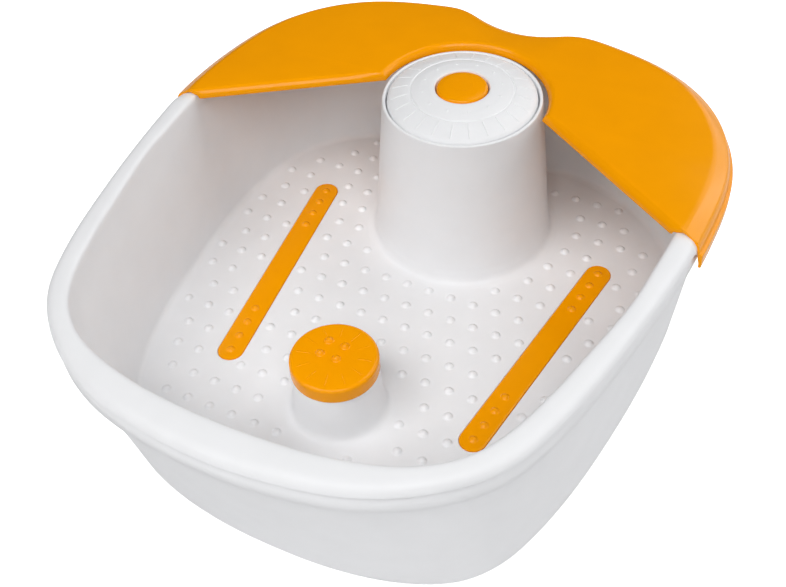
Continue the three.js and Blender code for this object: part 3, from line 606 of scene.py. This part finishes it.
def make_casing():
    s = Shape()
    top = rim_outer.ring(CASING_INSET, SKIRT_FOOT)
    low = base_edge.ring(0, BASE_ROUND_TOP)
    outside = [rim_outer.ring(CASING_INSET + 0.4, 137.9), rim_outer.ring(CASING_INSET, 137.4)]
    outside += [between(top, low, t) for t in np.linspace(0, 1, 13)[:-1]]
    rounding = through([(0, BASE_ROUND_TOP), (2.4, 20), (7.4, 10.4), (15.5, 4.9), (26, CASING_UNDER)], 5)
    outside += [base_edge.ring(inset, z) for inset, z in rounding]
    inner = [rim_outer.ring(CASING_INSET + WALL, 137.9), rim_outer.ring(CASING_INSET + WALL, SKIRT_FOOT),
             base_edge.ring(WALL, BASE_ROUND_TOP), base_edge.ring(7, 13.8), base_edge.ring(15, 8),
             base_edge.ring(27, CASING_FLOOR)]
    inside_edge, underside = s.run(inner[::-1] + outside)

    holes_below = []
    holes_above = []
    for x, y in FOOT_SPOTS.values():
        a, b = s.run([circle(r, z, 40, x, y) for r, z in
                      ((10.5, CASING_UNDER), (10.5, 4), (3.5, 4), (3.5, CASING_FLOOR))])
        holes_below.append(a)
        holes_above.append(b)
    for x, y in SCREW_SPOTS:
        a, b = s.run([circle(r, z, 32, x, y) for r, z in
                      ((5.2, CASING_UNDER), (5, 3.3), (5, 6.2), (2.1, 6.2), (2.1, 8.7), (6.8, 8.7),
                       (7, CASING_FLOOR))])
        holes_below.append(a)
        holes_above.append(b)
    for i in range(VENT_COUNT):
        x = (i - (VENT_COUNT - 1) / 2) * VENT_PITCH
        length = VENT_LENGTH - VENT_TAPER * abs(x)
        a, b = s.run([slot_loop(x, TOWER_Y, width, length, z) for width, z in
                      ((3.6, CASING_UNDER), (3, 3.4), (3, CASING_FLOOR))])
        holes_below.append(a)
        holes_above.append(b)
    s.fill(underside, holes_below)
    s.fill(inside_edge, holes_above)
    casing = s.object("casing", sharp=42)

    # The pad behind the inlet bush, then its flat seat and its hole, cut into the back wall.
    half = INLET_SEAT / 2
    corners = [(-half, half), (half, half), (half, -half), (-half, -half)]
    seat = soften([*corners, *corners[:2]], 2.5, 5)[1:-1]
    low, high = INLET_PAD_Z
    pad = [(-half - WALL, low), (half + WALL, low), (half + WALL, high), (-half - WALL, high)]
    hole = circle(INLET_BORE, 0, 32)[:, :2]
    for operation, plan, ends in (("UNION", pad, INLET_PAD_ENDS), ("DIFFERENCE", seat, (0, 16)),
                                  ("DIFFERENCE", hole, (-12, 4))):
        tool = Shape()
        tool.closed_run([[(u, INLET_SEAT_Y + y, INLET_Z + w) for u, w in plan] for y in ends])
        step = casing.modifiers.new(operation, "BOOLEAN")
        step.operation = operation
        step.object = tool.object("inlet_tool")
    bpy.context.view_layer.update()
    result = bpy.data.meshes.new_from_object(casing.evaluated_get(bpy.context.evaluated_depsgraph_get()))
    casing.modifiers.clear()
    casing.data = result
    for tool in [o for o in bpy.data.objects if o.name.startswith("inlet_tool")]:
        bpy.data.objects.remove(tool)
    return casing


# ---- Splash guard --------------------------------------------------------------------------------

def guard_lines():
    """Outer and inner points in plan, from the right end round the tower to the left end.

    Each pair comes with its share of the way from the end (0) to the arch round the tower (1).
    """
    edge = rim_outer.ring(-GUARD_OUTSET, 0)[:, :2]
    start = np.array(GUARD_FRONT_CORNER)
    end = np.array([GUARD_TOWER_R, TOWER_Y])

    def leave(origin, direction):
        """Where a ray from the origin first crosses the guard's outer edge."""
        a, b = edge, np.roll(edge, -1, axis=0)
        side = b - a
        across = direction[0] * side[:, 1] - direction[1] * side[:, 0]
        gap = a - origin
        far = (gap[:, 0] * side[:, 1] - gap[:, 1] * side[:, 0]) / across
        t = (gap[:, 0] * direction[1] - gap[:, 1] * direction[0]) / across
        return origin + direction * far[(far > 0) & (t >= 0) & (t < 1)].min()

    lines = []
    for i in range(FLANK_LINES):
        t = i / FLANK_LINES
        level = np.array([0, between(GUARD_END_Y, TOWER_Y, t)])
        lines.append((leave(level, np.array([1.0, 0.0])), between(start, end, t), t))
    axis = np.array([0, TOWER_Y])
    for i in range(ARCH_LINES // 2 + 1):
        a = i / ARCH_LINES * math.pi
        direction = np.array([math.cos(a), math.sin(a)])
        lines.append((leave(axis, direction), axis + direction * GUARD_TOWER_R, 1))
    mirrored = [(o * (-1, 1), i * (-1, 1), t) for o, i, t in lines[-2::-1]]
    return lines + mirrored


def make_guard():
    s = Shape()
    rings = []
    for outer, inner, t in guard_lines():
        length = np.linalg.norm(outer - inner)
        d = float(sag(outer[1]))
        roll = between(*GUARD_ROLL, np.clip((t - GUARD_ROLL_CHANGE) / (1 - GUARD_ROLL_CHANGE), 0, 1))
        section = [
            (0.3, SKIRT_FOOT), (0, SKIRT_FOOT + 0.4), (0, 141.4 - d), (0.5, 142.2 - d), (1.9, 142.6 - d),
            (2.3, 143.9 - d), (2.7, 147.2 - d), (4.2, 150.4 - d), (11.8, 155.2 - d), (14.2, 155.8 - d),
            (length - roll, 156), (length - roll * 0.5, 154.9), (length - 0.6, 153.1), (length, 150.8),
            (length - 0.4, 150.2), (length - 1.5, 150.2), (length - 1.9, 150.8), (length - 2.2, 151.9),
            (length - roll * 0.6 - 1.2, 153.0), (length - roll - 0.6, 154), (14.2, 153.9 - d),
            (11.6, 153.5 - d), (5.8, 149.6 - d), (4.1, 146.6 - d), (3.1, 142.2 - d), (2.5, 138.4 - d),
            (1.7, 136 - d), (1.7, SKIRT_FOOT + 0.4), (1.4, SKIRT_FOOT),
        ]
        unit = (inner - outer) / length
        rings.append([(*(outer + unit * u), z) for u, z in soften(section, 0.9, 2)])
    first, last = s.run(rings)
    for ids in (first, last):
        s.faces.append(tuple(ids))
    return s.object("guard", sharp=50)


# ---- Dial, button, pad, strips -------------------------------------------------------------------


def make_dial():
    s = Shape()
    profile = [(17.2, 139), (17.2, 160.2), (17.9, 160.95), (21, 160.85), (27, 160.2), (32.3, 159.1),
               (32.75, 158.45), (33.25, 158.3), (33.7, 158.75), (38, 157.6), (44.2, 155.5), (46.6, 154.3),
               (47.8, 152.9), (48.05, 151.2), (48.05, 149), (47.7, 148.6), (46.2, 148.6), (46.2, 149.4),
               (44.6, 152), (33, 155.6), (19.4, 158.1), (19.4, 139)]
    ring_body(s, soften(profile, 0.4, 2), 160, 0, TOWER_Y)
    for i in range(DIAL_TICKS):
        a = math.radians(360 / DIAL_TICKS * i)
        line = [(r * math.cos(a), TOWER_Y + r * math.sin(a), z) for r, z in
                ((35, 158.42), (38, 157.62), (41, 156.62), (43.6, 155.72), (45.2, 155.02))]
        ridge(s, line, 0.9, 0.38)
    for i in range(DIAL_PIPS):
        a = math.radians(3 + 360 / DIAL_PIPS * i)
        dome(s, DIAL_PIP_R * math.cos(a), TOWER_Y + DIAL_PIP_R * math.sin(a), 160.3, 1.0, 0.55, 14)
    return s.object("dial", sharp=35)


def make_button():
    s = Shape()
    profile = soften([(0, 136), (4.4, 136), (4.4, 158.6), (14.9, 158.6), (14.9, 151), (16.4, 151),
                      (16.4, 159.8), (15.5, 161.2), (12, 162.05), (6, 162.4), (0, 162.5)], 0.8, 4)
    turned(s, profile, 96, 0, TOWER_Y)
    # The sign for on and off: an arc open at the back, with a bar in its opening.
    arc = [(SIGN_R * math.cos(a), TOWER_Y + SIGN_R * math.sin(a), 162.28)
           for a in np.linspace(math.radians(125), math.radians(415), 40)]
    bar = [(0, TOWER_Y + r, 162.36 - 0.02 * r) for r in (1.8, 3.4, 5.0, 6.6, 7.8)]
    for line in (arc, bar):
        ridge(s, line, SIGN_WIDTH, SIGN_HEIGHT)
    return s.object("button", sharp=35)


def make_spring():
    """The button's return spring, wound up from the switch carrier to the button's underside."""
    s = Shape()
    foot, top = (corner.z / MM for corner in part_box("button_spring"))
    low, high = foot + SPRING_WIRE, top - SPRING_WIRE
    rings = []
    for turn in np.linspace(0, SPRING_TURNS, SPRING_TURNS * 36 + 1):
        a = 2 * np.pi * turn
        out = np.array([math.cos(a), math.sin(a), 0.0])
        place = SPRING_R * out + (0, TOWER_Y, between(low, high, turn / SPRING_TURNS))
        rings.append([place + SPRING_WIRE * (math.cos(b) * out + (0, 0, math.sin(b)))
                      for b in np.linspace(0, 2 * np.pi, 12, endpoint=False)])
    first, last = s.run(rings)
    s.faces += [tuple(first), tuple(last)]
    return s.object("spring", sharp=60)


def make_pad():
    s = Shape()
    profile = soften([(0, 81.6), (9, 81.6), (9, 87.4), (24.2, 87.4), (24.2, 79.6), (26.1, 79.6),
                      (26.5, 80.2), (26.5, 88.1), (26.0, 89.4), (24.6, 90.1), (18, 90.45),
                      (0, 90.6)], 0.7, 4)
    turned(s, profile, 120, 0, BOSS_Y)
    for x in (PAD_NUB_SPREAD, -PAD_NUB_SPREAD):
        for y in (PAD_NUB_SPREAD, -PAD_NUB_SPREAD):
            dome(s, PAD_NUBS_X + x, BOSS_Y + PAD_NUBS_Y + y, 90.45, 2.6, 2.3, 24)
    for i in range(PAD_RAYS):
        a = math.radians(360 / PAD_RAYS * (i + 0.5))
        line = [(r * math.cos(a), BOSS_Y + r * math.sin(a), z) for r, z in
                ((14.5, 90.46), (17, 90.44), (20, 90.36), (22.5, 90.22))]
        ridge(s, line, 1.0, 0.18)
    return s.object("pad", sharp=35)


def make_strip(side, name):
    s = Shape()
    rings = [bar_loop(side, r, z, 20) for r, z in
             ((1.2, 40.4), (1.5, 40.7), (1.5, 44.7), (STRIP_R, 44.7), (STRIP_R, 46.0), (8.1, 46.4),
              (7.6, 46.58), (6.8, 46.6))]
    first, last = s.run(rings)
    s.fill(last)
    s.fill(first)
    along = (STRIP_BACK - STRIP_FRONT) / np.linalg.norm(STRIP_BACK - STRIP_FRONT)
    for end, way in ((STRIP_FRONT, 1), (STRIP_BACK, -1)):
        for i in range(STRIP_NUBS):
            x, y = end + along * way * STRIP_NUB_PITCH * i
            dome(s, side * x, y, 46.58, 2.5, 1.5, 20)
    return s.object(name, sharp=35)


def make_foot(name, x, y):
    s = Shape()
    profile = soften([(0, 0.7), (3.4, 0.7), (3.7, 0), (5.2, 0), (5.5, 0.7), (6.6, 0.7), (6.9, 0), (9.2, 0),
                      (10, 0.9), (10, 3.7), (3.1, 3.7), (3.1, 8), (0, 8)], 0.25, 2)
    turned(s, profile, 48, x, y)
    return s.object(name)


def make_bush():
    s = Shape()
    profile = soften([(3.2, -6.6), (7.6, -6.6), (7.6, -4.9), (6, -4.9), (6, 0.3), (8.8, 0.3), (8.8, 1.6),
                      (7.4, 2.2), (5.8, 9), (4.2, 9), (3.2, 7.5)], 0.35, 2)
    rings = [[(r * math.cos(a), INLET_SEAT_Y + h, INLET_Z + r * math.sin(a))
              for a in np.arange(48) / 48 * 2 * math.pi] for r, h in profile]
    first, last = s.run(rings)
    s.bridge(last, first)
    return s.object("inlet_bush")


# ---- Materials -----------------------------------------------------------------------------------


def node(tree, kind, **values):
    """A new node, with each value set on the input of that name, or on the node itself."""
    made = tree.nodes.new(kind)
    for key, value in values.items():
        if key in made.inputs:
            made.inputs[key].default_value = value
        else:
            setattr(made, key, value)
    return made


def mapped(tree, source, low, high):
    """The source's 0.3 to 0.7 spread over low to high."""
    spread = node(tree, "ShaderNodeMapRange")
    spread.inputs["From Min"].default_value = 0.3
    spread.inputs["From Max"].default_value = 0.7
    spread.inputs["To Min"].default_value = low
    spread.inputs["To Max"].default_value = high
    tree.links.new(source, spread.inputs["Value"])
    return spread.outputs["Result"]


def noise(tree, scale, detail=3.0, stretch=(1, 1, 1)):
    """A noise fixed to the object, at this many cycles to the metre."""
    place = node(tree, "ShaderNodeTexCoord")
    sized = node(tree, "ShaderNodeMapping")
    sized.inputs["Scale"].default_value = stretch
    tree.links.new(place.outputs["Object"], sized.inputs["Vector"])
    made = node(tree, "ShaderNodeTexNoise", Scale=scale, Detail=detail)
    tree.links.new(sized.outputs["Vector"], made.inputs["Vector"])
    return made.outputs["Fac"]


def tinted(colour, factor):
    """The colour made darker or lighter, with its alpha."""
    return tuple(min(1.0, c * factor) for c in colour) + (1.0,)


def surface(name, colour, rough, *, metal=0.0, mottle=0.03, cloud=45, grain=2200, grain_depth=0.00002,
            rough_spread=0.05, stretch=(1, 1, 1), subsurface=0.0, specular=0.5):
    """A moulded or metal surface: soft clouding of its colour, fine grain in its bump and uneven gloss."""
    material = bpy.data.materials.new(name)
    material.use_nodes = True
    tree = material.node_tree
    shader = tree.nodes["Principled BSDF"]
    shader.inputs["Metallic"].default_value = metal
    shader.inputs["Specular IOR Level"].default_value = specular
    shader.inputs["Subsurface Weight"].default_value = subsurface
    shader.inputs["Subsurface Radius"].default_value = (0.004, 0.004, 0.004)
    mix = node(tree, "ShaderNodeMix", data_type="RGBA")
    mix.inputs["A"].default_value = tinted(colour, 1 - mottle)
    mix.inputs["B"].default_value = tinted(colour, 1 + mottle)
    tree.links.new(mapped(tree, noise(tree, cloud, 4, stretch), 0, 1), mix.inputs["Factor"])
    tree.links.new(mix.outputs["Result"], shader.inputs["Base Color"])
    patches = noise(tree, cloud * 6, 3, stretch)
    tree.links.new(mapped(tree, patches, rough - rough_spread, rough + rough_spread),
                   shader.inputs["Roughness"])
    bump = node(tree, "ShaderNodeBump", Strength=0.6, Distance=grain_depth)
    tree.links.new(noise(tree, grain, 2, stretch), bump.inputs["Height"])
    tree.links.new(bump.outputs["Normal"], shader.inputs["Normal"])
    return material


WHITE = (0.885, 0.89, 0.905)
ORANGE = (0.99, 0.365, 0.0)
MATERIALS = {
    "white": surface("white_plastic", WHITE, 0.42, mottle=0.012, grain_depth=0.00003, specular=0.25),
    "orange": surface("orange_plastic", ORANGE, 0.2, mottle=0.02, rough_spread=0.03, grain_depth=0.000004,
                      specular=0.2),
    "rubber": surface("foot_rubber", (0.045, 0.045, 0.047), 0.85, mottle=0.12, grain=1500,
                      grain_depth=0.00008),
    "black_plastic": surface("black_plastic", (0.016, 0.017, 0.019), 0.5, mottle=0.1,
                             grain_depth=0.00005),
    "ivory_plastic": surface("ivory_plastic", (0.69, 0.65, 0.55), 0.48, mottle=0.04),
    "hose": surface("silicone_hose", (0.72, 0.7, 0.64), 0.5, mottle=0.04, subsurface=0.3),
    "steel": surface("bright_steel", (0.55, 0.56, 0.57), 0.3, metal=1.0, mottle=0.05, stretch=(1, 1, 12),
                     rough_spread=0.08),
    "zinc": surface("zinc_plate", (0.5, 0.51, 0.52), 0.42, metal=1.0, mottle=0.1, cloud=160,
                    rough_spread=0.1),
    "brass": surface("turned_brass", (0.6, 0.42, 0.15), 0.32, metal=1.0, mottle=0.06,
                     stretch=(1, 1, 14)),
    "aluminium": surface("rolled_aluminium", (0.6, 0.61, 0.62), 0.38, metal=1.0, mottle=0.05,
                         stretch=(1, 18, 1)),
    "board": surface("board_laminate", (0.02, 0.13, 0.05), 0.5, mottle=0.2, cloud=220),
    "lead": surface("lead_insulation", (0.25, 0.03, 0.02), 0.5, mottle=0.08),
}


def finish_with(piece, slot, body, *nodes):
    """Gives a piece its material and the body it rides on, and hides the CAD nodes it stands for."""
    piece.data.materials.clear()
    piece.data.materials.append(MATERIALS[slot])
    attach(piece, body)
    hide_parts(*nodes)


finish_with(make_tub(), "white", "bath", "tub_basin")
finish_with(make_casing(), "white", "bath", "outer_casing")
finish_with(make_guard(), "orange", "guard", "splash_guard")
finish_with(make_dial(), "white", "dial", "selector_dial")
finish_with(make_button(), "orange", "button", "power_button")
finish_with(make_pad(), "orange", "pad", "massage_pad")

# The spring rides on the button's body, on a mesh of its own.
spring = make_spring()
finish_with(spring, "steel", "button", "button_spring")
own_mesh(spring)

for side, place in ((1, "right"), (-1, "left")):
    finish_with(make_strip(side, f"strip_{place}"), "orange", "bath", f"air_strip_{place}")
for place, (x, y) in FOOT_SPOTS.items():
    finish_with(make_foot(f"rubber_foot_{place}", x, y), "rubber", "bath", f"foot_{place}")
finish_with(make_bush(), "black_plastic", "bath", "cord_inlet_bush")

# The CAD's own pieces keep their shape and take the material of their slot.
for part in frame["record"]["subparts"]:
    carried = frame["nodes"][part["node"]]
    carried.data.materials.clear()
    carried.data.materials.append(MATERIALS[part["material_slot"]])

# ---- Floor, light and camera ---------------------------------------------------------------------


def make_floor():
    mesh = bpy.data.meshes.new("floor")
    corners = [(x * FLOOR_HALF, y * FLOOR_HALF, 0) for x, y in ((-1, -1), (1, -1), (1, 1), (-1, 1))]
    mesh.from_pydata(corners, [], [(0, 1, 2, 3)])
    floor = bpy.data.objects.new("floor", mesh)
    bpy.context.scene.collection.objects.link(floor)
    material = bpy.data.materials.new("pale_floor")
    material.use_nodes = True
    tree = material.node_tree
    shader = tree.nodes["Principled BSDF"]
    shader.inputs["Roughness"].default_value = 0.9
    shader.inputs["Specular IOR Level"].default_value = 0.0
    mix = node(tree, "ShaderNodeMix", data_type="RGBA")
    mix.inputs["A"].default_value = (0.88, 0.88, 0.885, 1)
    mix.inputs["B"].default_value = (0.92, 0.92, 0.925, 1)
    tree.links.new(mapped(tree, noise(tree, 9), 0, 1), mix.inputs["Factor"])
    tree.links.new(mix.outputs["Result"], shader.inputs["Base Color"])
    # The floor glows to the eye, so that it reads as a bright sweep, and lights nothing by it.
    rays = node(tree, "ShaderNodeLightPath")
    glow = node(tree, "ShaderNodeMath", operation="MULTIPLY")
    glow.inputs[1].default_value = FLOOR_GLOW
    tree.links.new(rays.outputs["Is Camera Ray"], glow.inputs[0])
    shader.inputs["Emission Color"].default_value = (1, 1, 1, 1)
    tree.links.new(glow.outputs["Value"], shader.inputs["Emission Strength"])
    mesh.materials.append(material)


def softbox(name, azimuth, height, power):
    """A square light aimed at the bath from an angle about Z and an angle above the floor, in degrees."""
    light = bpy.data.lights.new(name, "AREA")
    light.shape = "SQUARE"
    light.size = SOFTBOX_SIZE
    light.energy = power
    around, above = math.radians(azimuth), math.radians(height)
    way = Vector((math.cos(around) * math.cos(above), math.sin(around) * math.cos(above), math.sin(above)))
    made = bpy.data.objects.new(name, light)
    made.location = AIM + way * SOFTBOX_DISTANCE
    made.rotation_euler = way.to_track_quat("Z", "Y").to_euler()
    bpy.context.scene.collection.objects.link(made)


def make_world():
    """An even studio: bright to the eye, and dim to everything else."""
    world = bpy.data.worlds.new("studio")
    world.use_nodes = True
    tree = world.node_tree
    rays = node(tree, "ShaderNodeLightPath")
    level = node(tree, "ShaderNodeMapRange")
    level.inputs["To Min"].default_value = WORLD_LIGHT
    level.inputs["To Max"].default_value = 1.0
    tree.links.new(rays.outputs["Is Camera Ray"], level.inputs["Value"])
    tree.links.new(level.outputs["Result"], tree.nodes["Background"].inputs["Strength"])
    tree.nodes["Background"].inputs["Color"].default_value = (1, 1, 1, 1)
    bpy.context.scene.world = world


def make_camera():
    """A camera at its place, looking down at its azimuth and height, and rolled about its line of sight."""
    around, above, roll = (math.radians(a) for a in (CAMERA_AZIMUTH, CAMERA_HEIGHT, CAMERA_ROLL))
    camera = bpy.data.cameras.new("camera")
    camera.sensor_width = CAMERA_SENSOR
    camera.lens = CAMERA_LENS
    viewer = bpy.data.objects.new("camera", camera)
    turn = (Matrix.Rotation(around + math.pi / 2, 4, "Z") @ Matrix.Rotation(math.pi / 2 - above, 4, "X")
            @ Matrix.Rotation(roll, 4, "Z"))
    viewer.matrix_world = Matrix.Translation(Vector(CAMERA_FROM_DATUM + DATUM) * MM) @ turn
    bpy.context.scene.collection.objects.link(viewer)
    bpy.context.scene.camera = viewer


make_floor()
for light in SOFTBOXES:
    softbox(*light)
make_world()
make_camera()
bpy.context.scene.view_settings.view_transform = "Standard"
